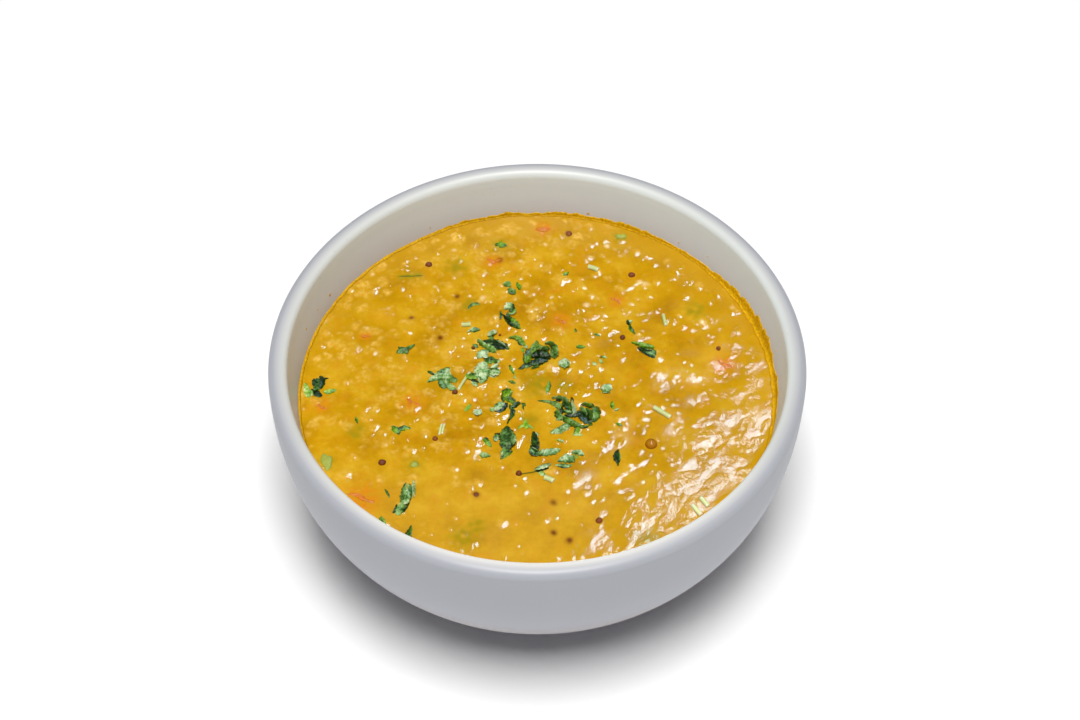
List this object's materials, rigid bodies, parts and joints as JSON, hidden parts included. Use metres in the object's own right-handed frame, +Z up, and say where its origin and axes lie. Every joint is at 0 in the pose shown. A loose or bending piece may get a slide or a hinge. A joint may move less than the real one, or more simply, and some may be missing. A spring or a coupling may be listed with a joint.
{
  "type": "bowl of dal",
  "caption": "Thick-walled round glazed bowl on a foot ring, filled with yellow lentil dal and strewn with chopped coriander.",
  "frame": {"origin": "centre of the foot ring's flat underside, the middle of the bowl's base", "axes": "+Z up along the bowl's axis, -Y towards the eater, +X to the eater's right"},
  "size_m": [0.15, 0.15, 0.07],
  "materials": {
    "glaze": "gloss",
    "dal": "gloss",
    "leaf": "satin"
  },
  "bodies": {
    "root": {"bowl": "glaze", "dal": "dal", "tuft_west": "leaf", "tuft_north": "leaf", "tuft_pale": "leaf", "tuft_dark": "leaf", "tuft_star": "leaf", "tuft_ball": "leaf", "tuft_curl": "leaf", "tuft_edge": "leaf", "leaf_far": "leaf", "leaf_hood": "leaf", "leaf_blade_north": "leaf", "leaf_pale_west": "leaf", "leaf_green_mid": "leaf", "leaf_speck_east": "leaf", "leaf_east": "leaf", "leaf_round_north": "leaf", "leaf_round_east": "leaf", "leaf_west": "leaf", "leaf_pale_mid": "leaf", "leaf_sprout": "leaf", "leaf_drop": "leaf", "leaf_hook": "leaf", "leaf_flag": "leaf", "leaf_oar": "leaf", "leaf_bright": "leaf", "leaf_fan": "leaf", "leaf_split": "leaf", "leaf_cup": "leaf", "leaf_small_west": "leaf", "leaf_point": "leaf", "leaf_tongue": "leaf", "leaf_spear": "leaf", "leaf_nick": "leaf", "leaf_wing": "leaf"}
  },
  "joints": []
}
